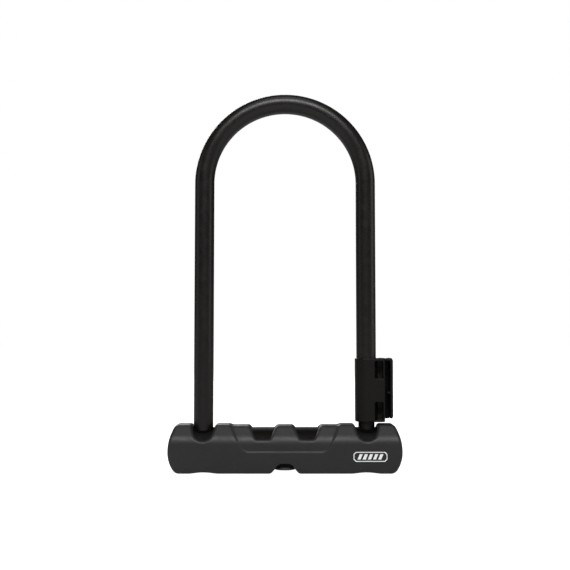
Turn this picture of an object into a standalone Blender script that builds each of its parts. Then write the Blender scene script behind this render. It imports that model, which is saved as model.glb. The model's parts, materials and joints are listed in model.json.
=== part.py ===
"""A bicycle U lock: a coated steel shackle, a double-bolting crossbar and a frame-holder adapter.

Metres, +Z up. The lock stands on its crossbar, the shackle's plane is XZ and the front faces -Y.
The origin is at the middle of the crossbar's underside. The lock is modelled shut with its bolts drawn in.
"""

import math

import bmesh
import bpy
from mathutils import Vector

MM = 0.001
GAP = 0.3 * MM  # kept between pieces that touch
FAR = 100 * MM  # cutters run this far past what they cut

# Shackle
STEEL_R = 6.0 * MM
COAT_R = 7.2 * MM
CLEAR_WIDTH = 107.7 * MM
CLEAR_HEIGHT = 230.5 * MM
LEG_X = CLEAR_WIDTH / 2 + STEEL_R
LEG_END_Z = 6.5 * MM
LEG_CHAMFER = 1.2 * MM
LEFT_COAT_END_Z = 26.0 * MM
RIGHT_COAT_END_Z = 72.4 * MM
ARCH_STEPS = 28

# Crossbar cover
BAR_HALF_LENGTH = 84.5 * MM
BAR_HEIGHT = 34.6 * MM
BAR_HALF_DEPTH = 17.5 * MM
WIDEST_Z = 15.4 * MM
END_LOW_R = 24.0 * MM
END_HIGH_R = 40.0 * MM
FACE_LOW_Z = 8.0 * MM
CREASE_Z = 24.7 * MM
TOP_HALF_WIDTH = 8.0 * MM
UNDER_EDGE = [(12.5 * MM, 0), (14.6 * MM, 0.7 * MM), (16.3 * MM, 2.4 * MM), (17.2 * MM, 5.0 * MM)]
PANEL_DEPTH = 0.8 * MM
NOTCH_FLOOR_Z = 24.8 * MM
LEG_NOTCH_X = LEG_X - 0.4 * MM
SCALLOP_X = LEG_X - 1.2 * MM
SCALLOP_HALF_WIDTH = 7.0 * MM
SCALLOP_DEPTH = 1.0 * MM
ARCH_Z = BAR_HEIGHT + CLEAR_HEIGHT + COAT_R - LEG_X

# Screws that hold the cover's halves together
COVER_SCREW_X = 79.0 * MM
COVER_SCREW_R = 1.5 * MM
COVER_SCREW_HEAD_R = 2.8 * MM
COVER_SCREW_HEAD = (17.3 * MM, 15.1 * MM)
COVER_SCREW_END = -9.0 * MM

# Badge plate
BADGE_CENTRE = (61.1 * MM, 12.6 * MM)
BADGE_HALF_SIZE = (12.3 * MM, 3.7 * MM)
BADGE_CROP = 1.6 * MM
BADGE_PROUD = 0.15 * MM
BADGE_SUNK = 0.6 * MM

# Crossbar tube and its inserts
TUBE_R = 15.4 * MM
TUBE_WALL = 3.0 * MM
TUBE_BORE_R = TUBE_R - TUBE_WALL
TUBE_Z = 16.8 * MM
TUBE_HALF_LENGTH = 74.0 * MM
INSERT_R = TUBE_BORE_R - GAP
COLLAR_R = 10.8 * MM
COLLAR_LOW_Z = 24.8 * MM
GUIDE_INNER_X = 46.0 * MM
GUIDE_OUTER_X = 69.2 * MM
GUIDE_PIN_X = 48.5 * MM
CARRIER_INNER_X = 23.0 * MM
CARRIER_OUTER_X = 36.0 * MM
CARRIER_PIN_X = 29.5 * MM
END_PLUG_X = 71.4 * MM
PIN_R = 1.5 * MM
PIN_HOLE_R = PIN_R + GAP
PIN_CLOSED_END = 4.0 * MM
PIN_OPEN_END = 11.6 * MM

# Key cylinder
CYLINDER_R = 9.6 * MM
CYLINDER_STEP_Z = 9.4 * MM
CYLINDER_TOP_Z = 21.4 * MM
CYLINDER_PIN_Z = 15.0 * MM
NOSE_R = 7.4 * MM
NOSE_Z = 1.6 * MM
PLUG_R = 5.8 * MM
PLUG_LOW_Z = 3.4 * MM
PLUG_TOP_Z = 21.2 * MM
PLUG_NECK_R = 3.6 * MM
PLUG_NECK_TOP_Z = 22.5 * MM
KEYWAY_HALF_SIZE = (1.3 * MM, 2.9 * MM)
KEYWAY_TOP_Z = 17.6 * MM
RING_R = 7.0 * MM
RING_Z = (21.75 * MM, 22.4 * MM)
GUARD_Z = (1.9 * MM, 3.1 * MM)
GUARD_SLOT_HALF_SIZE = (1.2 * MM, 2.8 * MM)
SHUTTER_X = (-1.5 * MM, 1.4 * MM)
SHUTTER_HALF_LENGTH = 3.1 * MM
SHUTTER_Z = (3.5 * MM, 4.4 * MM)
SHUTTER_TRAVEL = 2.75 * MM
WAFERS = 6
WAFER_PITCH = 1.8 * MM
WAFER_FIRST_Z = 6.2 * MM
WAFER_THICKNESS = 0.8 * MM
WAFER_HALF_SIZE = (2.3 * MM, 5.2 * MM)
WAFER_WINDOW_HALF_SIZE = (1.5 * MM, 3.5 * MM)
WAFER_CHANNEL_HALF_WIDTH = 2.7 * MM

# Cam and bolts
CAM_R = 6.6 * MM
CAM_Z = 22.8 * MM
CAM_TOP_Z = 25.3 * MM
CAM_SCREW_R = 1.5 * MM
CAM_SCREW_END_Z = 18.8 * MM
CAM_SCREW_HEAD_R = 2.6 * MM
CAM_SCREW_HEAD = (25.0 * MM, 24.0 * MM)
CRANK_R = 4.0 * MM
CRANK_PIN_R = 1.2 * MM
CRANK_REACH = CRANK_R * math.sin(math.radians(45))
BOLT_R = 4.2 * MM
BOLT_TRAVEL = 2 * CRANK_REACH
BOLT_POCKET_X = LEG_X - 2.1 * MM
BOLT_TIP_X = BOLT_POCKET_X - GAP - BOLT_TRAVEL
BOLT_TIP_CHAMFER = (1.2 * MM, 1.0 * MM)
BOLT_INNER_X = 12.0 * MM
RISER_X = 16.0 * MM
RISER_Y = (0.4 * MM, 3.6 * MM)
ARM_Y = (0.4 * MM, 6.2 * MM)
ARM_Z = CAM_TOP_Z + GAP
ARM_TOP_Z = 27.2 * MM
ARM_MARGIN = 1.2 * MM

# Frame-holder adapter: X is measured from the right leg's axis
ADAPTER_LEFT = 8.4 * MM
ADAPTER_RIGHT = 13.0 * MM
ADAPTER_CORNER = 1.0 * MM
ADAPTER_HALF_DEPTH = 8.4 * MM
ADAPTER_LOW_Z = 36.3 * MM
ADAPTER_TOP_Z = 82.6 * MM
ADAPTER_BORE_R = COAT_R + GAP
LINER_Z = (37.2 * MM, 72.1 * MM)
WINDOW_X = (5.8 * MM, 11.8 * MM)
WINDOWS_Z = {"upper": (67.7 * MM, 80.7 * MM), "lower": (37.7 * MM, 50.9 * MM)}
WINDOW_FLOOR_Y = -2.2 * MM
WINDOW_WALL = 0.7 * MM
CLAMP_SCREW_X = 9.4 * MM
CLAMP_SCREW_R = 1.1 * MM
CLAMP_HEAD_R = 1.75 * MM
CLAMP_HEAD = (-4.1 * MM, -2.5 * MM)
CLAMP_END = 7.0 * MM
NUT_R = 2.4 * MM
NUT_Y = (4.9 * MM, 7.2 * MM)
NUT_SEAT_R = 2.75 * MM
LATCH_INNER = 17.0 * MM
LATCH_OUTER = 19.1 * MM
LATCH_LOW_Z = 38.7 * MM
LATCH_HALF_DEPTH = 7.0 * MM
LATCH_CORNER = 1.4 * MM
LATCH_WEB = 1.8 * MM
LATCH_WEB_X = ADAPTER_RIGHT + 0.7 * MM
TOOTH_REACH = 2.0 * MM
TOOTH_Z = (56.1 * MM, 57.5 * MM, 58.2 * MM)
BACK_WALL_X = LATCH_INNER + 0.2 * MM
BACK_WALL_Y = LATCH_HALF_DEPTH + GAP
BACK_WALL_LOW_Z = LATCH_LOW_Z - 1.0 * MM

# Finishes: base colour, metallic, roughness
COVER_PLASTIC = ((0.031, 0.030, 0.031), 0.0, 0.55)
COATING = ((0.020, 0.018, 0.018), 0.0, 0.5)
ADAPTER_PLASTIC = ((0.013, 0.012, 0.012), 0.0, 0.5)
INNER_PLASTIC = ((0.006, 0.006, 0.006), 0.0, 0.6)
BLACK_STEEL = ((0.025, 0.024, 0.022), 0.7, 0.42)
BRIGHT_STEEL = ((0.55, 0.55, 0.56), 1.0, 0.3)
BRASS = ((0.60, 0.44, 0.20), 1.0, 0.35)
RUBBER = ((0.012, 0.012, 0.012), 0.0, 0.8)

ROUND = 32  # sides of the larger round pieces
SMALL_ROUND = 16


def finish(name, colour, metallic, roughness):
    """A material holding one piece's colour and surface."""
    made = bpy.data.materials.new(name)
    made.use_nodes = True
    shader = made.node_tree.nodes["Principled BSDF"]
    shader.inputs["Base Color"].default_value = (*colour, 1)
    shader.inputs["Metallic"].default_value = metallic
    shader.inputs["Roughness"].default_value = roughness
    made.diffuse_color = (*colour, 1)
    return made


def place_of(frame):
    """Where an unrotated empty stands, with its parents counted."""
    place = Vector((0, 0, 0))
    while frame:
        place += frame.location
        frame = frame.parent
    return place


def joint_frame(name, place, parent=None):
    """An empty on a joint's axis, which the moving pieces hang from."""
    frame = bpy.data.objects.new(name, None)
    bpy.context.collection.objects.link(frame)
    frame.location = Vector(place) - place_of(parent)
    frame.parent = parent
    return frame


def loft(name, rings, look=None, frame=None, ring_loop=False):
    """A closed solid through rings of points. ring_loop joins the last ring to the first, as in a sleeve.

    With no look it is a cutter, which only shapes other pieces.
    """
    offset = place_of(frame)
    mesh = bmesh.new()
    loops = [[mesh.verts.new(Vector(point) - offset) for point in ring] for ring in rings]
    pairs = list(zip(loops, loops[1:]))
    if ring_loop:
        pairs.append((loops[-1], loops[0]))
    else:
        mesh.faces.new(loops[0])
        mesh.faces.new(loops[-1])
    for low, high in pairs:
        for i in range(len(low)):
            j = (i + 1) % len(low)
            mesh.faces.new((low[i], low[j], high[j], high[i]))
    bmesh.ops.recalc_face_normals(mesh, faces=mesh.faces)
    data = bpy.data.meshes.new(name)
    mesh.to_mesh(data)
    mesh.free()
    piece = bpy.data.objects.new(name, data)
    bpy.context.collection.objects.link(piece)
    if look is None:
        piece.hide_render = True
        piece.display_type = "WIRE"
    else:
        data.materials.append(finish(name, *look))
        data.shade_smooth()
        data.set_sharp_from_angle(angle=math.radians(35))
        piece.parent = frame
    return piece


def along(axis, first, second, height):
    """A point from two coordinates across an axis and one along it."""
    if axis == "X":
        return (height, first, second)
    if axis == "Y":
        return (first, height, second)
    return (first, second, height)


def prism(name, outline, axis, low, high, look=None, frame=None):
    """An outline in the plane across an axis, extruded from low to high along it."""
    return loft(name, [[along(axis, a, b, h) for a, b in outline] for h in (low, high)], look, frame)


def circle(centre, radius, sides):
    turns = [2 * math.pi * i / sides for i in range(sides)]
    return [(centre[0] + radius * math.cos(t), centre[1] + radius * math.sin(t)) for t in turns]


def turned(name, profile, axis, centre, look=None, frame=None, sides=ROUND, ring_loop=False):
    """A turned solid from a profile of (radius, height) points."""
    rings = []
    for radius, height in profile:
        rings.append([along(axis, a, b, height) for a, b in circle(centre, radius, sides)])
    return loft(name, rings, look, frame, ring_loop)


def rod(name, radius, low, high, axis, centre, look=None, frame=None, sides=SMALL_ROUND):
    return turned(name, [(radius, low), (radius, high)], axis, centre, look, frame, sides)


def sleeve(name, inner, outer, low, high, axis, centre, look, frame=None, sides=ROUND):
    profile = [(inner, low), (outer, low), (outer, high), (inner, high)]
    return turned(name, profile, axis, centre, look, frame, sides, ring_loop=True)


def block(name, low, high, look=None, frame=None):
    outline = [(low[0], low[1]), (high[0], low[1]), (high[0], high[1]), (low[0], high[1])]
    return prism(name, outline, "Z", low[2], high[2], look, frame)


def upright_block(name, half_size, low_z, high_z, look=None, frame=None):
    """A block centred on the key cylinder's axis."""
    half_x, half_y = half_size
    return block(name, (-half_x, -half_y, low_z), (half_x, half_y, high_z), look, frame)


def boolean(piece, tool, operation):
    step = piece.modifiers.new(operation.lower(), "BOOLEAN")
    step.operation = operation
    step.object = tool


def cut(piece, *tools):
    for tool in tools:
        boolean(piece, tool, "DIFFERENCE")


def arc(centre, radius, start, end, steps):
    """Points along an arc between two angles in degrees."""
    angles = [math.radians(start + (end - start) * i / steps) for i in range(steps + 1)]
    return [(centre[0] + radius * math.cos(a), centre[1] + radius * math.sin(a)) for a in angles]


def mirrored(points):
    """Points given for the right side, with the same points mirrored to the left after them."""
    return points + [(-x, z) for x, z in reversed(points)]


def bar_half_section(side, inset=0.0):
    """Half of the cover's section in (y, z): flat underside, upright face, sloping facet, flat top."""
    depth = BAR_HALF_DEPTH - inset
    points = [
        (GAP / 2, 0),
        *UNDER_EDGE,
        (depth, FACE_LOW_Z),
        (depth, CREASE_Z),
        (TOP_HALF_WIDTH - inset / 2, BAR_HEIGHT - inset),
        (GAP / 2, BAR_HEIGHT - inset),
    ]
    return [(side * y, z) for y, z in points]


def bar_front_outline():
    """The cover seen from the front: rounded ends, leg notches, holder notches and keyhole notch."""
    keyhole_notch = [(3.0 * MM, 7.6 * MM), (5.6 * MM, 6.3 * MM), (7.5 * MM, 3.4 * MM), (10.0 * MM, 0)]
    scallop = [
        (SCALLOP_X - SCALLOP_HALF_WIDTH, 0),
        (SCALLOP_X - SCALLOP_HALF_WIDTH / 2, SCALLOP_DEPTH),
        (SCALLOP_X + SCALLOP_HALF_WIDTH / 2, SCALLOP_DEPTH),
        (SCALLOP_X + SCALLOP_HALF_WIDTH, 0),
    ]
    low_angle = -math.degrees(math.asin(WIDEST_Z / END_LOW_R))
    high_angle = math.degrees(math.asin((BAR_HEIGHT - WIDEST_Z) / END_HIGH_R))
    low_end = arc((BAR_HALF_LENGTH - END_LOW_R, WIDEST_Z), END_LOW_R, low_angle, 0, 6)
    high_end = arc((BAR_HALF_LENGTH - END_HIGH_R, WIDEST_Z), END_HIGH_R, 0, high_angle, 6)
    leg_half_notch = [
        (9.3 * MM, BAR_HEIGHT),
        (8.6 * MM, 33.2 * MM),
        (7.7 * MM, 30.8 * MM),
        (6.5 * MM, 27.6 * MM),
        (4.2 * MM, NOTCH_FLOOR_Z),
    ]
    leg_notch = [(LEG_NOTCH_X + x, z) for x, z in leg_half_notch]
    leg_notch += [(LEG_NOTCH_X - x, z) for x, z in reversed(leg_half_notch)]
    holder_notch = [
        (26.9 * MM, BAR_HEIGHT),
        (21.3 * MM, 26.4 * MM),
        (19.4 * MM, NOTCH_FLOOR_Z),
        (11.8 * MM, NOTCH_FLOOR_Z),
        (10.0 * MM, 26.2 * MM),
        (6.4 * MM, BAR_HEIGHT),
    ]
    return mirrored(keyhole_notch + scallop + low_end + high_end[1:] + leg_notch + holder_notch)


def panel_outline():
    """The shallow middle panel, open at the top."""
    right = [(27.0, 15.9), (30.3, 17.2), (32.7, 20.1), (35.5, 25.9), (39.4, 34.6), (39.4, 40.0)]
    return mirrored([(x * MM, z * MM) for x, z in right])


def make_cover(frame):
    """Two moulded half shells that meet on the shackle's plane, screwed together beyond the tube's ends."""
    outline = prism("cover_outline", bar_front_outline(), "Y", -FAR, FAR)
    tube_end = TUBE_HALF_LENGTH + GAP
    tube_space = rod("tube_space", TUBE_R + GAP, -tube_end, tube_end, "X", (0, TUBE_Z), sides=40)
    for name, side in (("front", -1), ("rear", 1)):
        below = prism(f"panel_floor_{name}", bar_half_section(side, PANEL_DEPTH), "X", -FAR, FAR)
        skin = prism(f"panel_skin_{name}", panel_outline(), "Y", *sorted((side * FAR, 0)))
        cut(skin, below)
        ends = (-BAR_HALF_LENGTH, BAR_HALF_LENGTH)
        shell = prism(f"housing_{name}", bar_half_section(side), "X", *ends, COVER_PLASTIC, frame)
        boolean(shell, outline, "INTERSECT")
        cut(shell, tube_space, skin)
        for x_side in (-1, 1):
            at = (x_side * COVER_SCREW_X, TUBE_Z)
            hole_r = COVER_SCREW_R + GAP
            if side < 0:
                cut(shell, rod("screw_socket", hole_r, COVER_SCREW_END - 0.5 * MM, MM, "Y", at))
            else:
                cut(shell, rod("screw_passage", hole_r, -MM, FAR, "Y", at))
                counterbore_r = COVER_SCREW_HEAD_R + 0.4 * MM
                cut(shell, rod("screw_counterbore", counterbore_r, COVER_SCREW_HEAD[1] - GAP, FAR, "Y", at))
        if side < 0:
            cut(shell, badge("badge_seat", -FAR, -BAR_HALF_DEPTH + BADGE_SUNK + GAP, GAP))


def badge(name, low, high, grow, look=None, frame=None):
    """A long plate with cropped corners, on the front of the cover's right end."""
    half_x, half_z = (half + grow for half in BADGE_HALF_SIZE)
    corner = [(half_x, half_z - BADGE_CROP), (half_x - BADGE_CROP, half_z)]
    top = corner + [(-x, z) for x, z in reversed(corner)]
    outline = top + [(-x, -z) for x, z in top]
    placed = [(BADGE_CENTRE[0] + x, BADGE_CENTRE[1] + z) for x, z in outline]
    return prism(name, placed, "Y", low, high, look, frame)


def screw(name, head_r, head, shank_r, shank_end, axis, centre, look, frame):
    """A round-headed screw with a hexagon socket: head is the head's two faces, outer one first."""
    outer, under = head
    profile = [(head_r * 0.8, outer), (head_r, outer + (under - outer) * 0.3), (head_r, under)]
    profile += [(shank_r, under), (shank_r, shank_end)]
    made = turned(name, profile, axis, centre, look, frame, SMALL_ROUND)
    into = outer + (under - outer) * 0.6
    cut(made, rod(name + "_socket", head_r * 0.5, outer - (under - outer), into, axis, centre, sides=6))
    return made


def make_crossbar(frame):
    """The steel tube with all its inserts, and the cover's screws and badge."""
    ends = (-TUBE_HALF_LENGTH, TUBE_HALF_LENGTH)
    tube = sleeve("crossbar_tube", TUBE_BORE_R, TUBE_R, *ends, "X", (0, TUBE_Z), BLACK_STEEL, frame)
    cut(tube, rod("nose_hole", NOSE_R + GAP, -FAR, TUBE_Z, "Z", (0, 0), sides=ROUND))
    pin_at = (0, CYLINDER_PIN_Z)
    rod("cylinder_pin", PIN_R, CYLINDER_R - 2 * MM, TUBE_R - 0.4 * MM, "Y", pin_at, BRIGHT_STEEL, frame)
    cut(tube, rod("cylinder_pin_hole", PIN_HOLE_R, CYLINDER_R - 2 * MM - GAP, FAR, "Y", pin_at))
    badge("badge_plate", -BAR_HALF_DEPTH - BADGE_PROUD, -BAR_HALF_DEPTH + BADGE_SUNK, 0, COVER_PLASTIC, frame)
    for name, side in (("left", -1), ("right", 1)):
        hole_r = COLLAR_R + GAP
        cut(tube, rod("leg_hole", hole_r, TUBE_Z, FAR, "Z", (side * LEG_X, 0), sides=ROUND))
        ends = sorted((side * END_PLUG_X, side * TUBE_HALF_LENGTH))
        rod(f"end_plug_{name}", INSERT_R, *ends, "X", (0, TUBE_Z), BLACK_STEEL, frame, ROUND)
        place = (side * COVER_SCREW_X, TUBE_Z)
        sizes = (COVER_SCREW_HEAD_R, COVER_SCREW_HEAD, COVER_SCREW_R, COVER_SCREW_END)
        screw(f"housing_screw_{name}", *sizes, "Y", place, BLACK_STEEL, frame)
        make_leg_guide(name, side, tube, frame)
        make_bolt_carrier(name, side, tube, frame)


def cross_pin(name, x, tube, insert, frame):
    """A pin through the tube's rear wall that holds an insert in place."""
    at = (x, TUBE_Z / 2)
    rod(name, PIN_R, PIN_CLOSED_END, PIN_OPEN_END, "Y", at, BRIGHT_STEEL, frame)
    hole = rod(name + "_hole", PIN_HOLE_R, PIN_CLOSED_END - GAP, FAR, "Y", at)
    cut(tube, hole)
    cut(insert, hole)


def make_leg_guide(name, side, tube, frame):
    """A plastic insert that takes a leg from above and the bolt from the middle.

    Its collar fills the tube's hole round the leg, flush with the outside of the tube.
    """
    ends = sorted((side * GUIDE_INNER_X, side * GUIDE_OUTER_X))
    leg = (side * LEG_X, 0)
    guide = rod(f"leg_guide_{name}", INSERT_R, *ends, "X", (0, TUBE_Z), INNER_PLASTIC, frame, ROUND)
    collar = rod("guide_collar", COLLAR_R, COLLAR_LOW_Z, FAR, "Z", leg, sides=ROUND)
    flush_ends = sorted((side * GUIDE_INNER_X, side * END_PLUG_X))
    flush = rod("collar_top", TUBE_R, *flush_ends, "X", (0, TUBE_Z), sides=40)
    boolean(collar, flush, "INTERSECT")
    boolean(guide, collar, "UNION")
    cut(guide, rod("leg_bore", STEEL_R + GAP, LEG_END_Z - 0.5 * MM, FAR, "Z", leg, sides=ROUND))
    if side < 0:
        cut(guide, rod("coat_bore", COAT_R + GAP, LEFT_COAT_END_Z - 0.5 * MM, FAR, "Z", leg, sides=ROUND))
    bore = sorted((side * (GUIDE_INNER_X - 1 * MM), side * LEG_X))
    cut(guide, rod("bolt_bore", BOLT_R + GAP, *bore, "X", (0, TUBE_Z), sides=24))
    cross_pin(f"guide_pin_{name}", side * GUIDE_PIN_X, tube, guide, frame)


def make_bolt_carrier(name, side, tube, frame):
    """A steel insert that the bolt slides through."""
    ends = sorted((side * CARRIER_INNER_X, side * CARRIER_OUTER_X))
    sizes = (BOLT_R + GAP, INSERT_R)
    carrier = sleeve(f"bolt_carrier_{name}", *sizes, *ends, "X", (0, TUBE_Z), BRIGHT_STEEL, frame, 24)
    cross_pin(f"carrier_pin_{name}", side * CARRIER_PIN_X, tube, carrier, frame)


def bent(radius, left_z, right_z, sides, chamfer=0.0):
    """Rings along the U, from the left leg's end over the arch to the right leg's end."""
    stops = []
    if chamfer:
        stops.append((-LEG_X, left_z, 180, radius - chamfer))
    stops.append((-LEG_X, left_z + chamfer, 180, radius))
    for i, (x, z) in enumerate(arc((0, ARCH_Z), LEG_X, 180, 0, ARCH_STEPS)):
        stops.append((x, z, 180 - 180 * i / ARCH_STEPS, radius))
    stops.append((LEG_X, right_z + chamfer, 0, radius))
    if chamfer:
        stops.append((LEG_X, right_z, 0, radius - chamfer))
    rings = []
    for x, z, angle, r in stops:
        outward = Vector((math.cos(math.radians(angle)), 0, math.sin(math.radians(angle))))
        turn = circle((0, 0), r, sides)
        rings.append([Vector((x, 0, z)) + outward * a + Vector((0, b, 0)) for a, b in turn])
    return rings


def make_shackle(frame):
    """The bent rod with a bolt pocket in each leg, and the coat over it."""
    rings = bent(STEEL_R, LEG_END_Z, LEG_END_Z, 20, LEG_CHAMFER)
    bar = loft("shackle_bar", rings, BLACK_STEEL, frame)
    for side in (-1, 1):
        pocket = sorted((side * (LEG_X - 2 * STEEL_R), side * BOLT_POCKET_X))
        cut(bar, rod("bolt_pocket", BOLT_R + 2 * GAP, *pocket, "X", (0, TUBE_Z)))
    outer = bent(COAT_R, LEFT_COAT_END_Z, RIGHT_COAT_END_Z, 20)
    inner = bent(STEEL_R + GAP, LEFT_COAT_END_Z, RIGHT_COAT_END_Z, 20)
    loft("shackle_coating", outer + inner[::-1], COATING, frame, ring_loop=True)


def make_cylinder(crossbar, key_axis):
    """The key cylinder: a fixed body, and the plug with what turns with it."""
    centre = (0, 0)
    nose = [(NOSE_R, NOSE_Z), (NOSE_R, CYLINDER_STEP_Z)]
    step = nose + [(CYLINDER_R, CYLINDER_STEP_Z), (CYLINDER_R, CYLINDER_TOP_Z)]
    body = turned("cylinder_housing", step, "Z", centre, BLACK_STEEL, crossbar)
    cut(body, rod("plug_bore", PLUG_R + GAP, 0, FAR, "Z", centre, sides=ROUND))
    channel_z = (WAFER_FIRST_Z - 1 * MM, WAFER_FIRST_Z + WAFERS * WAFER_PITCH)
    reach = PLUG_R + 2 * GAP
    cut(body, upright_block("channel_front", (WAFER_CHANNEL_HALF_WIDTH, reach), *channel_z))
    cut(body, upright_block("channel_side", (reach, WAFER_CHANNEL_HALF_WIDTH), *channel_z))
    pin_hole = (CYLINDER_R - 2 * MM - GAP, FAR)
    cut(body, rod("body_pin_hole", PIN_HOLE_R, *pin_hole, "Y", (0, CYLINDER_PIN_Z)))
    make_plug(centre, key_axis)
    make_cam(centre, key_axis)


def make_plug(centre, key_axis):
    """The plug with its keyway, wafers, keyhole shutter, drill guard and retaining ring."""
    neck = [(PLUG_NECK_R, PLUG_TOP_Z), (PLUG_NECK_R, PLUG_NECK_TOP_Z)]
    step = [(PLUG_R, PLUG_LOW_Z), (PLUG_R, PLUG_TOP_Z)] + neck
    plug = turned("cylinder_plug", step, "Z", centre, BRASS, key_axis)
    cut(plug, upright_block("keyway", KEYWAY_HALF_SIZE, 0, KEYWAY_TOP_Z))
    shutter_half_y = SHUTTER_HALF_LENGTH + GAP
    space_low = (SHUTTER_X[0] - GAP, -shutter_half_y, 0)
    space_high = (SHUTTER_X[1] + SHUTTER_TRAVEL + GAP, shutter_half_y, SHUTTER_Z[1] + GAP)
    cut(plug, block("shutter_space", space_low, space_high))
    cut(plug, rod("cam_screw_hole", CAM_SCREW_R + GAP, CAM_SCREW_END_Z - 0.4 * MM, FAR, "Z", centre))
    guard = rod("drill_guard", PLUG_R, *GUARD_Z, "Z", centre, BLACK_STEEL, key_axis, ROUND)
    cut(guard, upright_block("guard_slot", GUARD_SLOT_HALF_SIZE, 0, PLUG_LOW_Z))
    sleeve("retaining_ring", PLUG_NECK_R + GAP, RING_R, *RING_Z, "Z", centre, BRIGHT_STEEL, key_axis, 24)
    make_wafers(plug, key_axis)
    shutter_axis = joint_frame("shutter_slide", (0, 0, SHUTTER_Z[0]), key_axis)
    low = (SHUTTER_X[0], -SHUTTER_HALF_LENGTH, SHUTTER_Z[0])
    high = (SHUTTER_X[1], SHUTTER_HALF_LENGTH, SHUTTER_Z[1])
    block("keyhole_shutter", low, high, BRIGHT_STEEL, shutter_axis)


def make_cam(centre, key_axis):
    """The disc that turns with the plug, with a crank pin for each bolt, and the screw that holds it."""
    sizes = (CAM_SCREW_HEAD_R, CAM_SCREW_HEAD, CAM_SCREW_R, CAM_SCREW_END_Z)
    screw("cam_screw", *sizes, "Z", centre, BLACK_STEEL, key_axis)
    cam = rod("drive_cam", CAM_R, CAM_Z, CAM_TOP_Z, "Z", centre, BRIGHT_STEEL, key_axis, ROUND)
    cut(cam, rod("cam_hole", CAM_SCREW_R + GAP, 0, FAR, "Z", centre))
    cut(cam, rod("cam_counterbore", CAM_SCREW_HEAD_R + GAP, CAM_SCREW_HEAD[1] - GAP, FAR, "Z", centre))
    for side in (-1, 1):
        pin_at = (-side * CRANK_REACH, side * CRANK_REACH)
        boolean(cam, rod("crank_pin", CRANK_PIN_R, CAM_Z + GAP, ARM_TOP_Z, "Z", pin_at, sides=12), "UNION")


def make_wafers(plug, key_axis):
    """Thin sprung plates with a key window, each in its own slot across the plug."""
    for i in range(WAFERS):
        low = WAFER_FIRST_Z + i * WAFER_PITCH
        high = low + WAFER_THICKNESS
        slide = joint_frame(f"wafer_slide_{i + 1}", (0, 0, low), key_axis)
        wafer = upright_block(f"wafer_{i + 1}", WAFER_HALF_SIZE, low, high, BRASS, slide)
        cut(wafer, upright_block("key_window", WAFER_WINDOW_HALF_SIZE, low - GAP, high + GAP))
        slot = (WAFER_HALF_SIZE[0] + GAP, PLUG_R + GAP)
        cut(plug, upright_block("wafer_slot", slot, low - GAP * 2 / 3, high + GAP * 2 / 3))


def make_bolt(name, side):
    """A round bolt with an arm that reaches back over the cam, where a crank pin runs in its slot."""
    frame = joint_frame(f"bolt_slide_{name}", (side * BOLT_INNER_X, 0, TUBE_Z))
    tip = side * BOLT_TIP_X
    inner = side * BOLT_INNER_X
    chamfer_length, chamfer_depth = BOLT_TIP_CHAMFER
    profile = [(BOLT_R, inner), (BOLT_R, tip - side * chamfer_length), (BOLT_R - chamfer_depth, tip)]
    bolt = turned(f"bolt_{name}", profile, "X", (0, TUBE_Z), BRIGHT_STEEL, frame, SMALL_ROUND)
    riser_end = side * RISER_X
    slot_x = -side * CRANK_REACH
    slot_half = CRANK_PIN_R + GAP
    arm_end = slot_x - side * (slot_half + ARM_MARGIN)
    slot_y = (CRANK_REACH - slot_half, CRANK_R + slot_half)

    def placed(label, x_range, y_range, z_range):
        low_x, high_x = sorted(x_range)
        low_y, high_y = sorted((side * y_range[0], side * y_range[1]))
        return block(label, (low_x, low_y, z_range[0]), (high_x, high_y, z_range[1]))

    riser_z = (TUBE_Z, ARM_TOP_Z - 0.4 * MM)
    boolean(bolt, placed("bolt_riser", (inner, riser_end), RISER_Y, riser_z), "UNION")
    arm_x = (arm_end, riser_end + side * 0.5 * MM)
    boolean(bolt, placed("bolt_arm", arm_x, ARM_Y, (ARM_Z, ARM_TOP_Z)), "UNION")
    slot_x_range = (slot_x - slot_half, slot_x + slot_half)
    cut(bolt, placed("crank_slot", slot_x_range, slot_y, (ARM_Z - GAP, ARM_TOP_Z + GAP)))


def adapter_half_outline(side):
    """Half of the adapter's section in (x, y): round behind the leg, flat towards the latch plate."""
    straight = [
        (ADAPTER_RIGHT, GAP / 2),
        (ADAPTER_RIGHT, ADAPTER_HALF_DEPTH - ADAPTER_CORNER),
        (ADAPTER_RIGHT - ADAPTER_CORNER, ADAPTER_HALF_DEPTH),
    ]
    turns = [math.radians(90 + 11 * i) for i in range(8)]
    back = [(ADAPTER_LEFT * math.cos(t), ADAPTER_HALF_DEPTH * math.sin(t)) for t in turns]
    points = straight + back + [(-ADAPTER_LEFT, GAP / 2)]
    return [(LEG_X + x, side * y) for x, y in points]


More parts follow.
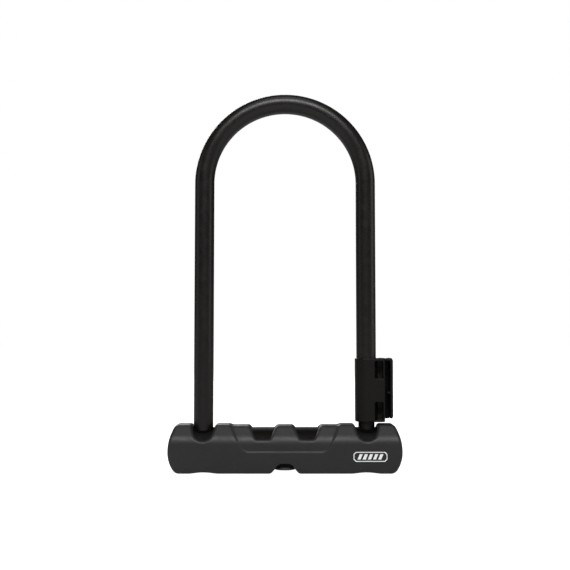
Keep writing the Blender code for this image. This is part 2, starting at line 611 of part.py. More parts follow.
def make_adapter(frame):
    """Two clamp halves around the leg with a liner, screws and nuts.

    The rear half has the wall that closes the back of the slot beside the latch plate.
    """
    leg = (LEG_X, 0)
    bore = rod("adapter_bore", ADAPTER_BORE_R, 0, FAR, "Z", leg, sides=28)
    for name, side in (("front", -1), ("rear", 1)):
        outline = adapter_half_outline(side)
        half = prism(f"bracket_{name}", outline, "Z", ADAPTER_LOW_Z, ADAPTER_TOP_Z, ADAPTER_PLASTIC, frame)
        if side > 0:
            wall_low = (LEG_X + ADAPTER_RIGHT - 2 * ADAPTER_CORNER, BACK_WALL_Y, BACK_WALL_LOW_Z)
            wall_high = (LEG_X + BACK_WALL_X, ADAPTER_HALF_DEPTH, ADAPTER_TOP_Z)
            boolean(half, block("slot_back_wall", wall_low, wall_high), "UNION")
        cut(half, bore)
        for window_z in WINDOWS_Z.values():
            middle = (LEG_X + CLAMP_SCREW_X, sum(window_z) / 2)
            cut(half, rod("clamp_hole", CLAMP_SCREW_R + GAP, -FAR, FAR, "Y", middle, sides=12))
            if side < 0:
                cut(half, window_space(window_z))
            else:
                cut(half, rod("nut_seat", NUT_SEAT_R, NUT_Y[0] - GAP, FAR, "Y", middle, sides=6))
    for name, window_z in WINDOWS_Z.items():
        middle = (LEG_X + CLAMP_SCREW_X, sum(window_z) / 2)
        sizes = (CLAMP_HEAD_R, CLAMP_HEAD, CLAMP_SCREW_R, CLAMP_END)
        screw(f"bracket_screw_{name}", *sizes, "Y", middle, BLACK_STEEL, frame)
        nut = rod(f"bracket_nut_{name}", NUT_R, *NUT_Y, "Y", middle, BLACK_STEEL, frame, 6)
        cut(nut, rod("nut_thread", CLAMP_SCREW_R + GAP, 0, FAR, "Y", middle, sides=12))
    sleeve("bracket_liner", STEEL_R + GAP, COAT_R, *LINER_Z, "Z", leg, RUBBER, frame, 20)


def window_space(window_z):
    """A deep pocket in the front half's face, which leaves a wall round the leg's bore."""
    low = (LEG_X + WINDOW_X[0], -FAR, window_z[0])
    high = (LEG_X + WINDOW_X[1], WINDOW_FLOOR_Y, window_z[1])
    space = block("window", low, high)
    cut(space, rod("bore_wall", ADAPTER_BORE_R + WINDOW_WALL, 0, FAR, "Z", (LEG_X, 0), sides=28))
    return space


def make_latch(bracket_frame):
    """The plate that slides into a frame holder, on a thin web at its top, with a catch tooth inside."""
    hinge = (LEG_X + LATCH_WEB_X - 0.35 * MM, 0, ADAPTER_TOP_Z - LATCH_WEB / 2)
    frame = joint_frame("latch_flex", hinge, bracket_frame)
    outline = [
        (LATCH_WEB_X, ADAPTER_TOP_Z - LATCH_WEB),
        (LATCH_INNER, ADAPTER_TOP_Z - LATCH_WEB),
        (LATCH_INNER, LATCH_LOW_Z),
        (LATCH_OUTER - LATCH_CORNER, LATCH_LOW_Z),
        (LATCH_OUTER, LATCH_LOW_Z + LATCH_CORNER),
        (LATCH_OUTER, ADAPTER_TOP_Z - LATCH_CORNER),
        (LATCH_OUTER - LATCH_CORNER, ADAPTER_TOP_Z),
        (LATCH_WEB_X, ADAPTER_TOP_Z),
    ]
    outline = [(LEG_X + x, z) for x, z in outline]
    plate = prism("latch_plate", outline, "Y", -LATCH_HALF_DEPTH, LATCH_HALF_DEPTH, ADAPTER_PLASTIC, frame)
    low, slope_end, top = TOOTH_Z
    root = LEG_X + LATCH_INNER + 1 * MM
    tip = LEG_X + LATCH_INNER - TOOTH_REACH
    tooth = [(root, low - 0.7 * MM), (root, top), (tip, top), (tip, slope_end)]
    tooth_half_depth = LATCH_HALF_DEPTH - 1 * MM
    boolean(plate, prism("catch_tooth", tooth, "Y", -tooth_half_depth, tooth_half_depth), "UNION")


def main():
    for old in list(bpy.data.objects):
        bpy.data.objects.remove(old)
    crossbar = joint_frame("crossbar", (0, 0, 0))
    shackle = joint_frame("shackle_lift", (0, 0, 0), crossbar)
    key_axis = joint_frame("key_axis", (0, 0, 0), crossbar)
    adapter = joint_frame("adapter_axis", (LEG_X, 0, 0), shackle)
    make_cover(crossbar)
    make_crossbar(crossbar)
    make_shackle(shackle)
    make_cylinder(crossbar, key_axis)
    make_bolt("left", -1)
    make_bolt("right", 1)
    make_adapter(adapter)
    make_latch(adapter)


main()
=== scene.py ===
"""The looks of a bicycle U lock: moulded cover, coated shackle, steel tube and frame-holder adapter.

Moulded pieces are meshed from distance fields, so that every edge carries the fillet of a moulding.
Lengths in the fields are in millimetres; meshes are in metres.
"""

import json
import math

import bmesh
import bpy
import numpy as np
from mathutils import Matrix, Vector


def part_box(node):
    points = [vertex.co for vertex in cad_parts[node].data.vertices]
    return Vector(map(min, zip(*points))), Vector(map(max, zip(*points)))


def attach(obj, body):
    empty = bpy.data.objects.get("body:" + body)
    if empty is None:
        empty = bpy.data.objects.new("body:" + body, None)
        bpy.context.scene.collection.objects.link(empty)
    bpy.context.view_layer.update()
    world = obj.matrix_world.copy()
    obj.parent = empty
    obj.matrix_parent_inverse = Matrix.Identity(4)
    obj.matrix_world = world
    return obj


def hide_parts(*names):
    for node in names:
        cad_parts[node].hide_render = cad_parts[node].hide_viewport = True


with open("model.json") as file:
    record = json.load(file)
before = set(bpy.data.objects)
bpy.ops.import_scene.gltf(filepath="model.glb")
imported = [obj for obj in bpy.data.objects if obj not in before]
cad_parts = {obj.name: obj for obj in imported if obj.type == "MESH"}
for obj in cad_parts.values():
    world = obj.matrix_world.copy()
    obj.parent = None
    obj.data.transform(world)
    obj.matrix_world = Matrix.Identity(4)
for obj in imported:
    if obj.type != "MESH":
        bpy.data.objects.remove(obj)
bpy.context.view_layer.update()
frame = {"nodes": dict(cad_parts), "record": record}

MM = 0.001


def box_mm(node):
    """A node's lowest and highest corners in millimetres."""
    low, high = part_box(node)
    return np.array(low) / MM, np.array(high) / MM


# ---------------------------------------------------------------- sizes, from the frame's own solids
bar_low, bar_high = box_mm("shackle_bar")
coat_low, coat_high = box_mm("shackle_coating")
tube_low, tube_high = box_mm("crossbar_tube")
cover_low, cover_high = box_mm("housing_front")
STEEL_R = bar_high[1]
COAT_R = coat_high[1]
LEG_X = bar_high[0] - STEEL_R
ARCH_Z = coat_high[2] - COAT_R - LEG_X
LEG_END_Z = bar_low[2]
BAR_TOP = cover_high[2]
BAR_HALF_LENGTH = cover_high[0]
BAR_HALF_DEPTH = -cover_low[1]
TUBE_R = tube_high[1]
TUBE_Z = (tube_low[2] + tube_high[2]) / 2
TUBE_HALF_LENGTH = tube_high[0]
adapter_low, adapter_high = box_mm("bracket_front")
latch_low, latch_high = box_mm("latch_plate")
SLOT_WALL_X = box_mm("bracket_rear")[1][0]

# ---------------------------------------------------------------- sizes that no box gives
GAP = 0.3  # between pieces that fit into each other

CREASE_Z = 24.7  # where the cover's sloping facet starts
WIDEST_Z = 15.4  # where the cover's ends are widest, and the end radii below and above it
END_LOW_R, END_HIGH_R = 24.0, 40.0
RIM = 2.4  # fillet from the cover's faces into its ends and notches
PANEL_DEPTH = 0.8
# the sunk middle panel's right edge, from its lower line upwards
PANEL_SIDE = [(26.6, 17.0), (29.2, 18.2), (31.6, 21.0), (34.4, 26.4), (38.3, 34.6), (38.3, 50)]
COVER_SCREW_X, COVER_SCREW_HOLE_R = 79, 1.8
COVER_SCREW_SINK_R, COVER_SCREW_SINK_Y = 3.2, 14.8

TUBE_WALL = 3.0
COLLAR_R = 9.2
COLLAR_LOW_Z = 24.8
NOSE_HOLE_R = 7.7
BOLT_HOLE_R = 4.5

COAT_RIGHT_END_Z = 72.4
POCKET_R, POCKET_LENGTH = 4.8, 12
POCKET_FACE = 2.1  # from the leg's axis to the pocket's bottom

WINDOWS_Z = ((67.7, 80.7), (37.7, 50.9))
WINDOW_FLOOR_Y = -2.2
SLOT_WALL_FRONT_Y = 7.3
CLAMP_SCREW_X, CLAMP_HOLE_R = 9.4, 1.4
NUT_SEAT_R, NUT_SEAT_Y = 2.75, 4.6
TOOTH_PITCH, TOOTH_DEPTH = 1.9, 0.35
PLATE_THICKNESS, WEB_THICKNESS = 2.1, 1.8

BADGE_CROP = 1.6
BADGE_SET_BACK, PRINT_OVERLAP = 0.05, 0.1
STRIPE_COUNT, STRIPE_PITCH = 5, 3.7
STRIPE = [(-1.9, -1.9), (0.3, -1.9), (1.9, 1.9), (-0.3, 1.9)]


# ---------------------------------------------------------------- distance fields
def smooth_max(a, b, k):
    """The larger of two fields, blended over k: cuts b's outside from a with a fillet."""
    h = np.clip(0.5 + 0.5 * (a - b) / k, 0, 1)
    return b + (a - b) * h + k * h * (1 - h)


def smooth_min(a, b, k):
    """The smaller of two fields, blended over k: joins two shapes with a fillet."""
    return -smooth_max(-a, -b, k)


def plane(p, q, start, end):
    """Signed distance to the line from start to end, positive on its right."""
    along = np.subtract(end, start) / np.hypot(*np.subtract(end, start))
    return (p - start[0]) * along[1] - (q - start[1]) * along[0]


def polygon(p, q, points):
    """Signed distance to a closed outline, negative inside."""
    nearest = np.full(np.broadcast(p, q).shape, np.inf)
    inside = np.zeros(nearest.shape, bool)
    for (ax, ay), (bx, by) in zip(points, points[1:] + points[:1]):
        ex, ey = bx - ax, by - ay
        wx, wy = p - ax, q - ay
        t = np.clip((wx * ex + wy * ey) / (ex * ex + ey * ey), 0, 1)
        nearest = np.minimum(nearest, (wx - ex * t) ** 2 + (wy - ey * t) ** 2)
        if ey:
            inside ^= ((ay > q) != (by > q)) & (wx < ex * wy / ey)
    return np.where(inside, -1, 1) * np.sqrt(nearest)


def box_field(p, q, low, high, radius=0.0):
    """Signed distance to a rounded rectangle."""
    dp = np.abs(p - (low[0] + high[0]) / 2) - (high[0] - low[0]) / 2 + radius
    dq = np.abs(q - (low[1] + high[1]) / 2) - (high[1] - low[1]) / 2 + radius
    outside = np.hypot(np.maximum(dp, 0), np.maximum(dq, 0))
    return outside + np.minimum(np.maximum(dp, dq), 0) - radius


def added(name, data):
    """A new object in the scene."""
    made = bpy.data.objects.new(name, data)
    bpy.context.collection.objects.link(made)
    return made


def edge_ends(values, axis):
    """The values at the two ends of every grid edge along an axis."""
    first, second = [slice(None)] * 3, [slice(None)] * 3
    first[axis], second[axis] = slice(0, -1), slice(1, None)
    return values[tuple(first)], values[tuple(second)]


def field_mesh(name, field, low, high, cell):
    """The zero surface of a field as quads: one vertex per crossed cell, settled onto the surface."""
    axes = [np.arange(low[i] - cell, high[i] + 2 * cell, cell) for i in range(3)]
    grid = np.meshgrid(*axes, indexing="ij", sparse=True)
    values = field(*grid)
    inside = values < 0
    shape = tuple(n - 1 for n in values.shape)
    total, count = np.zeros(shape + (3,)), np.zeros(shape)
    for axis in range(3):
        a, b = edge_ends(values, axis)
        crossed = (a < 0) != (b < 0)
        step = np.where(crossed, a / np.where(crossed, a - b, 1), 0)
        others = [i for i in range(3) if i != axis]
        for u in (0, 1):
            for v in (0, 1):
                part = [slice(None)] * 3
                part[others[0]] = slice(u, u + shape[others[0]])
                part[others[1]] = slice(v, v + shape[others[1]])
                hit = crossed[tuple(part)]
                count += hit
                total[..., axis] += hit * step[tuple(part)]
                total[..., others[0]] += hit * u
                total[..., others[1]] += hit * v
    active = count > 0
    index = np.full(shape, -1)
    index[active] = np.arange(active.sum())
    cells = np.argwhere(active)
    points = (cells + total[active] / count[active][:, None]) * cell + [axis[0] for axis in axes]
    for _ in range(3):
        points = settled(field, points, cell)
    faces = []
    for axis in range(3):
        u, v = (axis + 1) % 3, (axis + 2) % 3
        a, b = edge_ends(inside, axis)
        at = np.argwhere(a != b)
        at = at[(at[:, u] > 0) & (at[:, v] > 0) & (at[:, u] < shape[u]) & (at[:, v] < shape[v])]
        corners = []
        for du, dv in ((1, 1), (0, 1), (0, 0), (1, 0)):
            where = at.copy()
            where[:, u] -= du
            where[:, v] -= dv
            corners.append(index[tuple(where.T)])
        quads = np.stack(corners, 1)
        flip = ~inside[tuple(at.T)]
        quads[flip] = quads[flip][:, ::-1]
        faces.append(quads)
    data = bpy.data.meshes.new(name)
    data.from_pydata((points * MM).tolist(), [], np.concatenate(faces).tolist())
    data.validate()
    data.shade_smooth()
    return added(name, data)


def settled(field, points, cell):
    """Points moved along the field's slope onto its zero surface, by at most half a cell."""
    here = field(*points.T)
    reach = cell * 0.1
    slope = np.empty_like(points)
    for axis in range(3):
        ahead = points.copy()
        ahead[:, axis] += reach
        behind = points.copy()
        behind[:, axis] -= reach
        slope[:, axis] = (field(*ahead.T) - field(*behind.T)) / (2 * reach)
    length = np.maximum((slope**2).sum(1), 0.05)
    move = -slope * (here / length)[:, None]
    size = np.linalg.norm(move, axis=1, keepdims=True)
    return points + move * np.minimum(1, cell * 0.5 / np.maximum(size, 1e-9))


# ---------------------------------------------------------------- materials
UNEVEN = 0.05  # how far the roughness varies either way


def material(name, colour, roughness, metallic=0.0, specular=0.5, grain=0.0, grain_size=0.5, mottle=0.1):
    """A surface with fine grain in its relief, slight mottling of its colour and uneven roughness.

    grain is the relief's depth and grain_size its pitch, both in millimetres.
    """
    made = bpy.data.materials.new(name)
    made.use_nodes = True
    tree = made.node_tree
    shader = tree.nodes["Principled BSDF"]
    shader.inputs["Metallic"].default_value = metallic
    shader.inputs["Specular IOR Level"].default_value = specular
    place = tree.nodes.new("ShaderNodeTexCoord").outputs["Object"]

    def noise(scale, detail=3.0):
        node = tree.nodes.new("ShaderNodeTexNoise")
        node.inputs["Scale"].default_value = scale
        node.inputs["Detail"].default_value = detail
        tree.links.new(place, node.inputs["Vector"])
        return node.outputs["Fac"]

    def spread(source, low, high):
        node = tree.nodes.new("ShaderNodeMapRange")
        node.inputs["From Min"].default_value = 0.3
        node.inputs["From Max"].default_value = 0.7
        node.inputs["To Min"].default_value = low
        node.inputs["To Max"].default_value = high
        tree.links.new(source, node.inputs["Value"])
        return node.outputs["Result"]

    tint = tree.nodes.new("ShaderNodeMix")
    tint.data_type = "RGBA"
    tint.inputs[6].default_value = (*[c * (1 - mottle) for c in colour], 1)
    tint.inputs[7].default_value = (*[c * (1 + mottle) for c in colour], 1)
    tree.links.new(spread(noise(60), 0, 1), tint.inputs[0])
    tree.links.new(tint.outputs[2], shader.inputs["Base Color"])
    gloss = spread(noise(220), roughness - UNEVEN, roughness + UNEVEN)
    tree.links.new(gloss, shader.inputs["Roughness"])
    if grain:
        bump = tree.nodes.new("ShaderNodeBump")
        bump.inputs["Strength"].default_value = 1.0
        bump.inputs["Distance"].default_value = grain * MM
        tree.links.new(noise(1 / (grain_size * MM), 2.0), bump.inputs["Height"])
        tree.links.new(bump.outputs["Normal"], shader.inputs["Normal"])
    return made


COVER = material(
    "cover_plastic", (0.0172, 0.0168, 0.0174), 0.5, specular=0.4, grain=0.02, grain_size=0.35)
COAT = material(
    "shackle_coat", (0.0058, 0.0043, 0.0037), 0.38, specular=0.37, grain=0.003, grain_size=0.6)
ADAPTER = material(
    "adapter_plastic", (0.0042, 0.0033, 0.0026), 0.5, specular=0.22, grain=0.012, grain_size=0.4)
# Dark plastic guides whose collars are pushed near black and dull, partly their own colour and partly
# painted shade in the gap around the legs.
GUIDE_PLASTIC_AND_PAINTED_SHADE = material("guide_plastic", (0.0012, 0.0012, 0.0012), 0.8, specular=0.05, grain=0.01)
# Painted shade: a darker, duller copy of the black steel, for the tube where it shows in the notches and
# for the adapter's screw heads deep in their windows.
TUBE_STEEL_PAINTED_SHADE = material(
    "tube_steel_painted_shade", (0.0034, 0.0026, 0.0022), 0.6, 0.4, specular=0.15, grain=0.006, grain_size=0.3)
BLACK_STEEL = material(
    "black_steel", (0.007, 0.0058, 0.0052), 0.5, 0.4, specular=0.35, grain=0.006, grain_size=0.3)
# Painted light: the cylinder nose is a much lighter copy of the black steel, lightening it where it sits
# in the shade of the keyhole notch.
NOSE_STEEL_PAINTED_LIGHT = material("nose_steel_painted_light", (0.19, 0.158, 0.142), 0.5, 0.4, grain=0.006, grain_size=0.3)
BRIGHT_STEEL = material("bright_steel", (0.55, 0.55, 0.56), 0.3, 1.0, grain=0.004, grain_size=0.2)
BRASS = material("brass", (0.60, 0.44, 0.20), 0.35, 1.0, grain=0.004, grain_size=0.2)
RUBBER = material("liner_rubber", (0.012, 0.012, 0.012), 0.75, grain=0.01)
PRINT = material("badge_print", (0.95, 0.95, 0.95), 0.5, mottle=0.01)


def dress(piece, look, body, slot, *replaced):
    """Gives a new piece its material and body, and hides the CAD nodes that it stands for. The slot is
    not used.
    """
    piece.data.materials.clear()
    piece.data.materials.append(look)
    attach(piece, body)
    if replaced:
        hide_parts(*replaced)


# ---------------------------------------------------------------- crossbar cover
def cover_section(y, z):
    """The cover's section: flat top, sloping facets, and faces that tuck in towards the underside."""
    side = np.abs(y)
    front = side - BAR_HALF_DEPTH
    tuck = plane(side, z, (16.6, 3.0), (BAR_HALF_DEPTH + 0.05, 9.5))
    under_edge = plane(side, z, (14.4, 0.0), (17.2, 3.0))
    facet = plane(side, z, (BAR_HALF_DEPTH, CREASE_Z), (8.4, BAR_TOP))
    shape = smooth_max(front, tuck, 0.8)
    shape = smooth_max(shape, under_edge, 1.4)
    shape = smooth_max(shape, -z, 0.8)
    shape = smooth_max(shape, facet, 3.0)
    return smooth_max(shape, z - BAR_TOP, 1.4)


def cover_outline(x, z):
    """The cover seen from the front: its rounded ends, with the bowls and holder notches in its top."""
    side = np.abs(x)
    end_r = np.where(z > WIDEST_Z, END_HIGH_R, END_LOW_R)
    shape = np.hypot(np.maximum(side - (BAR_HALF_LENGTH - end_r), 0), z - WIDEST_Z) - end_r
    high = BAR_TOP + 12
    leg_side = [(1.2, 26.2), (3.2, 27.4), (4.5, 29.6), (5.7, 33.0), (6.6, high)]
    leg_outline = leg_side + [(-px, pz) for px, pz in reversed(leg_side)]
    leg_notch = polygon(side - LEG_X + 0.5, z, leg_outline) - 2.4
    holder_right = [(19.9, 26.3), (21.4, 29.3), (23.2, 33.2), (24.0, 36.6), (24.4, high)]
    holder_left = [(7.2, high), (7.6, 36.6), (8.6, 33.2), (10.65, 29.3), (12.1, 26.3)]
    holder_notch = polygon(side, z, holder_right + holder_left) - 1.5
    return smooth_max(shape, -np.minimum(leg_notch, holder_notch), 1.0)


def low_notches(x, z):
    """The keyhole notch and the scallops under the legs."""
    side = np.abs(x)
    keyhole = [(-5, 6.9), (3, 6.9), (5.1, 5.8), (6.9, 3.1), (9.6, -0.3), (13, -4.5), (-5, -4.5)]
    scallop = np.hypot(side - LEG_X + 1.2, z + 28.6) - 29.6
    return np.minimum(polygon(side, z, keyhole) - 0.6, scallop)


def cover_field(x, y, z):
    """The whole cover with its middle panel, before it is split into halves."""
    side = np.abs(x)
    panel = polygon(side, z, [(-5, 17.0), *PANEL_SIDE, (-5, 50)]) - 1.1
    ramp = 0.8 + 2.2 * np.clip((z - 22) / 5, 0, 1)
    sunk = np.clip(0.5 - panel / ramp, 0, 1)
    sunk = sunk * sunk * (3 - 2 * sunk)
    shape = smooth_max(cover_section(y, z) + PANEL_DEPTH * sunk, cover_outline(x, z), RIM)
    shape = smooth_max(shape, -low_notches(x, z), 1.2)
    across = np.hypot(y, z - TUBE_Z)
    tube_space = np.maximum(across - TUBE_R - GAP, side - TUBE_HALF_LENGTH - GAP)
    return smooth_max(shape, -tube_space, 0.5)


def make_cover():
    """The cover's two halves. The rear one has the screws' holes."""
    for name, side in (("front", -1), ("rear", 1)):

        def half(x, y, z, side=side):
            shape = smooth_max(cover_field(x, y, z), GAP / 2 - side * y, 0.35)
            if side > 0:
                screw = np.hypot(np.abs(x) - COVER_SCREW_X, z - TUBE_Z)
                sink = np.maximum(screw - COVER_SCREW_SINK_R, COVER_SCREW_SINK_Y - y)
                shape = smooth_max(shape, -np.minimum(sink, screw - COVER_SCREW_HOLE_R), 0.4)
            return shape

        low = (-BAR_HALF_LENGTH, -BAR_HALF_DEPTH if side < 0 else 0, 0)
        high = (BAR_HALF_LENGTH, 0 if side < 0 else BAR_HALF_DEPTH, BAR_TOP)
        shell = field_mesh(f"cover_{name}", half, low, high, 0.48)
        dress(shell, COVER, "crossbar", "cover_plastic", f"housing_{name}")


def make_tube():
    """The steel tube, and the guides that line it where the legs and bolts pass."""

    def tube(x, y, z):
        across = np.hypot(y, z - TUBE_Z)
        wall = np.abs(across - TUBE_R + TUBE_WALL / 2) - TUBE_WALL / 2
        shape = np.maximum(wall, np.abs(x) - TUBE_HALF_LENGTH)
        leg_hole = np.maximum(np.hypot(np.abs(x) - LEG_X, y) - COLLAR_R - GAP, TUBE_Z - z)
        nose_hole = np.maximum(np.hypot(x, y) - NOSE_HOLE_R, z - TUBE_Z)
        return smooth_max(shape, -np.minimum(leg_hole, nose_hole), 0.5)

    piece = field_mesh("tube", tube, tube_low, tube_high, 0.6)
    dress(piece, TUBE_STEEL_PAINTED_SHADE, "crossbar", "black_steel", "crossbar_tube")
    for name, side in (("left", -1), ("right", 1)):
        low, high = box_mm(f"leg_guide_{name}")

        def guide(x, y, z, side=side, low=low, high=high):
            from_tube = np.hypot(y, z - TUBE_Z)
            ends = np.maximum(low[0] - x, x - high[0])
            insert = smooth_max(from_tube - TUBE_R + TUBE_WALL + GAP, ends, 0.6)
            leg = np.hypot(x - side * LEG_X, y)
            collar = smooth_max(leg - COLLAR_R, from_tube - TUBE_R, 0.5)
            shape = np.minimum(insert, np.maximum(collar, COLLAR_LOW_Z - z))
            bore = np.maximum(leg - STEEL_R - GAP, LEG_END_Z - 0.5 - z)
            if side < 0:
                bore = np.minimum(bore, np.maximum(leg - COAT_R - GAP, coat_low[2] - 0.5 - z))
            shape = smooth_max(shape, -bore, 0.5)
            bolt = np.maximum(from_tube - BOLT_HOLE_R, side * x - LEG_X)
            return np.maximum(shape, -bolt)

        piece = field_mesh(f"guide_{name}", guide, low, high, 0.4)
        dress(piece, GUIDE_PLASTIC_AND_PAINTED_SHADE, "crossbar", "guide_plastic", f"leg_guide_{name}")


# ---------------------------------------------------------------- shackle
RING_SPACING = 1.6


def closed_mesh(name, bm):
    """The mesh of a finished bmesh, its faces turned outwards."""
    bmesh.ops.recalc_face_normals(bm, faces=bm.faces)
    data = bpy.data.meshes.new(name)
    bm.to_mesh(data)
    bm.free()
    return data


def bent(name, radius_at, left_z, right_z, sides):
    """A tube bent along the U, with flat ends. radius_at(d) is its radius at d from the nearer end."""
    left_leg = ARCH_Z - left_z
    arch = math.pi * LEG_X
    length = left_leg + arch + ARCH_Z - right_z
    steps = int(length / RING_SPACING)
    bm = bmesh.new()
    rings = []
    stations = [0, 0.15, 0.5, 1.0] + [1.0 + (length - 2.0) * i / steps for i in range(1, steps)]
    stations += [length - 1.0, length - 0.5, length - 0.15, length]
    for s in stations:
        if s < left_leg:
            centre, angle = (-LEG_X, left_z + s), math.pi
        elif s < left_leg + arch:
            angle = math.pi - (s - left_leg) / LEG_X
            centre = (LEG_X * math.cos(angle), ARCH_Z + LEG_X * math.sin(angle))
        else:
            centre, angle = (LEG_X, ARCH_Z - (s - left_leg - arch)), 0
        outward = Vector((math.cos(angle), 0, math.sin(angle)))
        radius = radius_at(min(s, length - s))
        ring = []
        for i in range(sides):
            turn = 2 * math.pi * i / sides
            across = outward * math.cos(turn) * radius + Vector((0, math.sin(turn) * radius, 0))
            ring.append(bm.verts.new((Vector((centre[0], 0, centre[1])) + across) * MM))
        rings.append(ring)
    bm.faces.new(rings[0])
    bm.faces.new(rings[-1])
    for a, b in zip(rings, rings[1:]):
        for i in range(sides):
            j = (i + 1) % sides
            bm.faces.new((a[i], a[j], b[j], b[i]))
    data = closed_mesh(name, bm)
    data.shade_smooth()
    data.set_sharp_from_angle(angle=math.radians(50))
    return added(name, data)


def make_shackle():
    """The steel bar with its two bolt pockets, and the coat over it."""

    def rounded(radius, fillet):
        def at(distance):
            if distance >= fillet:
                return radius
            return radius - fillet + math.sqrt(fillet**2 - (fillet - distance) ** 2)

        return at

    bar = bent("shackle_steel", rounded(STEEL_R, 1.0), LEG_END_Z, LEG_END_Z, 64)
    for side in (-1, 1):
        bpy.ops.mesh.primitive_cylinder_add(
            vertices=48, radius=POCKET_R * MM, depth=POCKET_LENGTH * MM, rotation=(0, math.pi / 2, 0))
        cutter = bpy.context.object
        cutter.location = (side * (LEG_X - POCKET_FACE - POCKET_LENGTH / 2) * MM, 0, TUBE_Z * MM)
        step = bar.modifiers.new("bolt_pocket", "BOOLEAN")
        step.object = cutter
        bpy.context.view_layer.objects.active = bar
        bpy.ops.object.modifier_apply(modifier=step.name)
        bpy.data.objects.remove(cutter)
    dress(bar, BLACK_STEEL, "shackle", "black_steel", "shackle_bar")
    coat = bent("coat", rounded(COAT_R, 0.8), coat_low[2], COAT_RIGHT_END_Z, 72)
    dress(coat, COAT, "shackle", "shackle_coat", "shackle_coating")


# ---------------------------------------------------------------- frame-holder adapter
def adapter_field(x, y, z):
    """The adapter's two clamp halves as one: round on the left, flat-sided towards the latch plate."""
    x = x - LEG_X
    right = adapter_high[0] - LEG_X
    left = LEG_X - adapter_low[0]
    half_depth = -adapter_low[1]
    wrap = (np.hypot(np.minimum(x, 0) / left, y / half_depth) - 1) * left
    shape = smooth_max(wrap, x - right, 1.4)
    teeth = TOOTH_DEPTH * (1 - np.abs(np.mod(z, TOOTH_PITCH) / TOOTH_PITCH * 2 - 1))
    toothed = np.clip(1.5 - np.abs(y) / 3.0, 0, 1)
    shape = np.maximum(shape, x - right + teeth * toothed)
    shape = smooth_max(shape, adapter_low[2] - z, 1.0)
    shape = smooth_max(shape, z - adapter_high[2], 0.8)
    wall_right = SLOT_WALL_X - LEG_X + 0.4
    wall = box_field(x, z, (right - 3, latch_low[2] - 0.9), (wall_right, adapter_high[2]), 0.3)
    wall = smooth_max(wall, np.maximum(SLOT_WALL_FRONT_Y - y, y - half_depth), 0.3)
    shape = smooth_min(shape, wall, 0.5)
    leg = np.hypot(x, y)
    shape = smooth_max(shape, COAT_R + GAP - leg, 0.4)
    for low, high in WINDOWS_Z:
        window = np.maximum(box_field(x, z, (5.5, low), (11.8, high), 1.2), y - WINDOW_FLOOR_Y)
        window = np.maximum(window, COAT_R + 1.0 - leg)
        shape = smooth_max(shape, -window, 0.35)
        screw = np.hypot(x - CLAMP_SCREW_X, z - (low + high) / 2)
        shape = np.maximum(shape, CLAMP_HOLE_R - screw)
        nut = np.maximum(screw - NUT_SEAT_R, NUT_SEAT_Y - y)
        shape = smooth_max(shape, -nut, 0.3)
    return shape


def make_adapter():
    """The adapter's two halves, and the latch plate with the web over it and its catch tooth."""
    for name, side in (("front", -1), ("rear", 1)):

        def half(x, y, z, side=side):
            return smooth_max(adapter_field(x, y, z), GAP / 2 - side * y, 0.25)

        low, high = box_mm(f"bracket_{name}")
        piece = field_mesh(f"adapter_{name}", half, low, high, 0.3)
        dress(piece, ADAPTER, "adapter", "adapter_plastic", f"bracket_{name}")

    def plate(x, y, z):
        outer, inner = latch_high[0], latch_high[0] - PLATE_THICKNESS
        top, low = latch_high[2], latch_low[2]
        upright = box_field(x, z, (inner - 4, low), (outer, top), 2.0)
        upright = smooth_max(upright, inner - x, 0.6)
        web = box_field(x, z, (latch_low[0], top - WEB_THICKNESS), (outer - 1, top), 0.5)
        catch = [(inner + 1, 55.4), (inner + 1, 58.2), (inner - 2, 58.2), (inner - 2, 57.5)]
        tooth = np.maximum(polygon(x, z, catch), np.abs(y) - latch_high[1] + 1)
        shape = smooth_min(smooth_min(upright, web, 1.0), tooth, 0.4)
        return smooth_max(shape, np.abs(y) - latch_high[1], 0.9)

    piece = field_mesh("holder_plate", plate, latch_low, latch_high, 0.25)
    dress(piece, ADAPTER, "latch", "adapter_plastic", "latch_plate")


# ---------------------------------------------------------------- badge
def cropped(half_x, half_z, crop):
    """A long outline with cropped corners."""
    corner = [(half_x, half_z - crop), (half_x - crop, half_z)]
    top = corner + [(-x, z) for x, z in reversed(corner)]
    return top + [(-x, -z) for x, z in top]


def front_plate(name, outlines, low_y, high_y):
    """Flat outlines in (x, z) given a thickness. Two outlines make a ring."""
    bm = bmesh.new()
    layers = []
    for line in outlines:
        levels = [[(x * MM, y * MM, z * MM) for x, z in line] for y in (low_y, high_y)]
        layers.append([[bm.verts.new(point) for point in level] for level in levels])
    for front, back in layers:
        for i in range(len(front)):
            j = (i + 1) % len(front)
            bm.faces.new((front[i], front[j], back[j], back[i]))
    for level in (0, 1):
        if len(layers) == 1:
            bm.faces.new(layers[0][level])
        else:
            outer, inner = layers[0][level], layers[1][level]
            for i in range(len(outer)):
                j = (i + 1) % len(outer)
                bm.faces.new((outer[i], outer[j], inner[j], inner[i]))
    return added(name, closed_mesh(name, bm))


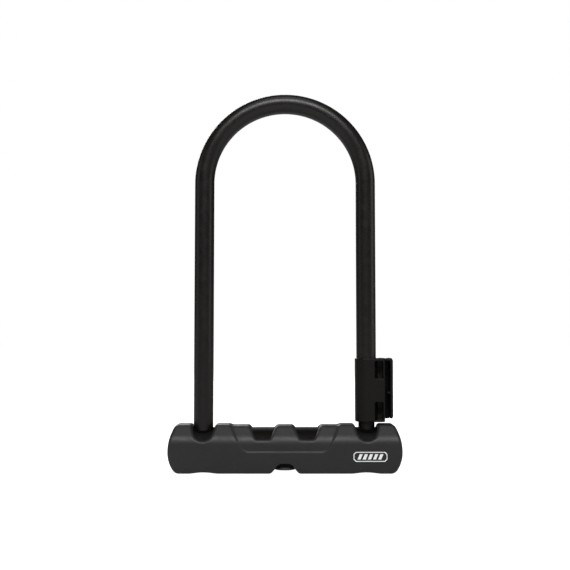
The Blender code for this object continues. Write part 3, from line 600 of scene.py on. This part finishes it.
def make_badge():
    """The plate, set back a little so that its raised ring and slanted stripes stay in its box."""
    low, high = box_mm("badge_plate")
    centre_x, centre_z = (low[0] + high[0]) / 2, (low[2] + high[2]) / 2
    half_x, half_z = (high[0] - low[0]) / 2, (high[2] - low[2]) / 2

    def placed(points):
        return [(centre_x + x, centre_z + z) for x, z in points]

    face_y = low[1] + BADGE_SET_BACK
    print_back_y = face_y + PRINT_OVERLAP
    outline = placed(cropped(half_x, half_z, BADGE_CROP))
    plate = front_plate("badge", [outline], face_y, high[1])
    edge = plate.modifiers.new("edge", "BEVEL")
    edge.width = 0.12 * MM
    edge.segments = 3
    dress(plate, COVER, "crossbar", "cover_plastic", "badge_plate")
    outer = placed(cropped(half_x - 0.2, half_z - 0.2, BADGE_CROP))
    inner = placed(cropped(half_x - 0.8, half_z - 0.8, BADGE_CROP - 0.25))
    ring = front_plate("badge_line", [outer, inner], low[1], print_back_y)
    dress(ring, PRINT, "crossbar", "cover_plastic")
    for i in range(STRIPE_COUNT):
        middle = (i - (STRIPE_COUNT - 1) / 2) * STRIPE_PITCH
        bar = placed([(middle + x, z) for x, z in STRIPE])
        stripe = front_plate(f"badge_stripe_{i + 1}", [bar], low[1], print_back_y)
        dress(stripe, PRINT, "crossbar", "cover_plastic")


# ---------------------------------------------------------------- the frame's own solids that stay
def dress_nodes():
    """Materials by slot for the solids that no new piece replaces."""
    looks = {
        "guide_plastic": GUIDE_PLASTIC_AND_PAINTED_SHADE,
        "black_steel": BLACK_STEEL,
        "bright_steel": BRIGHT_STEEL,
        "brass": BRASS,
        "liner_rubber": RUBBER,
    }
    # Painted shade and light: the screw heads take the darkened tube steel, and the cylinder nose the
    # lightened nose steel.
    painted_light_and_shade = {"bracket_screw_upper": TUBE_STEEL_PAINTED_SHADE, "bracket_screw_lower": TUBE_STEEL_PAINTED_SHADE, "cylinder_housing": NOSE_STEEL_PAINTED_LIGHT}
    slots = {part["node"]: part["material_slot"] for part in frame["record"]["subparts"]}
    for name, node in frame["nodes"].items():
        look = painted_light_and_shade.get(name, looks.get(slots[name]))
        if look:
            node.data.materials.clear()
            node.data.materials.append(look)
            node.data.shade_smooth()
            node.data.set_sharp_from_angle(angle=math.radians(30))


# ---------------------------------------------------------------- studio
SEEN_WHITE = 1.0  # the strength that the camera sees in the floor and the room
FLOOR_SHADE, FLOOR_GLOW, ROOM_GLOW = 0.7, 0.09, 0.04
CAMERA_DISTANCE, CAMERA_AIM_Z = 0.693, 0.1367
CAMERA_TILT = math.radians(3.4)
SENSOR_WIDTH = 36
FOCAL_LENGTH = 934.6 / 570  # in widths of the image


def area_light(name, place, target, width, height, power):
    """A rectangular light, in metres and watts."""
    light = bpy.data.lights.new(name, "AREA")
    light.shape = "RECTANGLE"
    light.size, light.size_y = width, height
    light.energy = power
    lamp = added(name, light)
    lamp.location = place
    lamp.rotation_euler = (Vector(target) - Vector(place)).to_track_quat("-Z", "Y").to_euler()


def make_camera():
    """At the height of the lower legs, tilted a little upwards."""
    camera = bpy.data.cameras.new("camera")
    camera.sensor_width = SENSOR_WIDTH
    camera.lens = SENSOR_WIDTH * FOCAL_LENGTH
    camera.clip_start, camera.clip_end = 0.05, 20
    eye = added("camera", camera)
    back, down = CAMERA_DISTANCE * math.cos(CAMERA_TILT), CAMERA_DISTANCE * math.sin(CAMERA_TILT)
    eye.location = (0, -back, CAMERA_AIM_Z - down)
    eye.rotation_euler = (math.radians(90) + CAMERA_TILT, 0, 0)
    bpy.context.scene.camera = eye


def seen_and_lighting(tree, socket, seen, lighting):
    """Gives a strength one value for the camera and another for the light that falls on the lock."""
    path = tree.nodes.new("ShaderNodeLightPath")
    strength = tree.nodes.new("ShaderNodeMapRange")
    strength.inputs["To Min"].default_value = lighting
    strength.inputs["To Max"].default_value = seen
    tree.links.new(path.outputs["Is Camera Ray"], strength.inputs["Value"])
    tree.links.new(strength.outputs["Result"], socket)


def make_studio():
    """A room that looks pure white, lit from above the camera and from behind, weaker from the sides."""
    bpy.ops.mesh.primitive_plane_add(size=30, location=(0, 0, 0))
    floor = bpy.context.object
    floor.name = "floor"
    white = bpy.data.materials.new("floor")
    white.use_nodes = True
    shader = white.node_tree.nodes["Principled BSDF"]
    shader.inputs["Base Color"].default_value = (FLOOR_SHADE, FLOOR_SHADE, FLOOR_SHADE, 1)
    shader.inputs["Roughness"].default_value = 0.9
    shader.inputs["Emission Color"].default_value = (1, 1, 1, 1)
    seen_and_lighting(white.node_tree, shader.inputs["Emission Strength"], SEEN_WHITE, FLOOR_GLOW)
    floor.data.materials.append(white)
    world = bpy.data.worlds.new("studio")
    bpy.context.scene.world = world
    world.use_nodes = True
    background = world.node_tree.nodes["Background"]
    background.inputs["Color"].default_value = (1, 1, 1, 1)
    seen_and_lighting(world.node_tree, background.inputs["Strength"], SEEN_WHITE, ROOM_GLOW)
    area_light("key", (0, -1.1, 1.2), (0, 0, 0.12), 0.9, 0.4, 19)
    area_light("right", (1.5, -0.2, 0.5), (0, 0, 0.12), 0.7, 0.9, 3.3)
    area_light("left", (-1.5, -0.2, 0.5), (0, 0, 0.12), 0.7, 0.9, 1.4)
    area_light("top", (0, -0.25, 1.5), (0, 0, 0.1), 0.7, 0.5, 1.6)
    area_light("back", (-0.5, 1.5, 0.9), (0, 0, 0.12), 0.8, 0.6, 11)
    bpy.context.scene.view_settings.view_transform = "Standard"


make_camera()
make_cover()
make_tube()
make_shackle()
make_adapter()
make_badge()
dress_nodes()
make_studio()
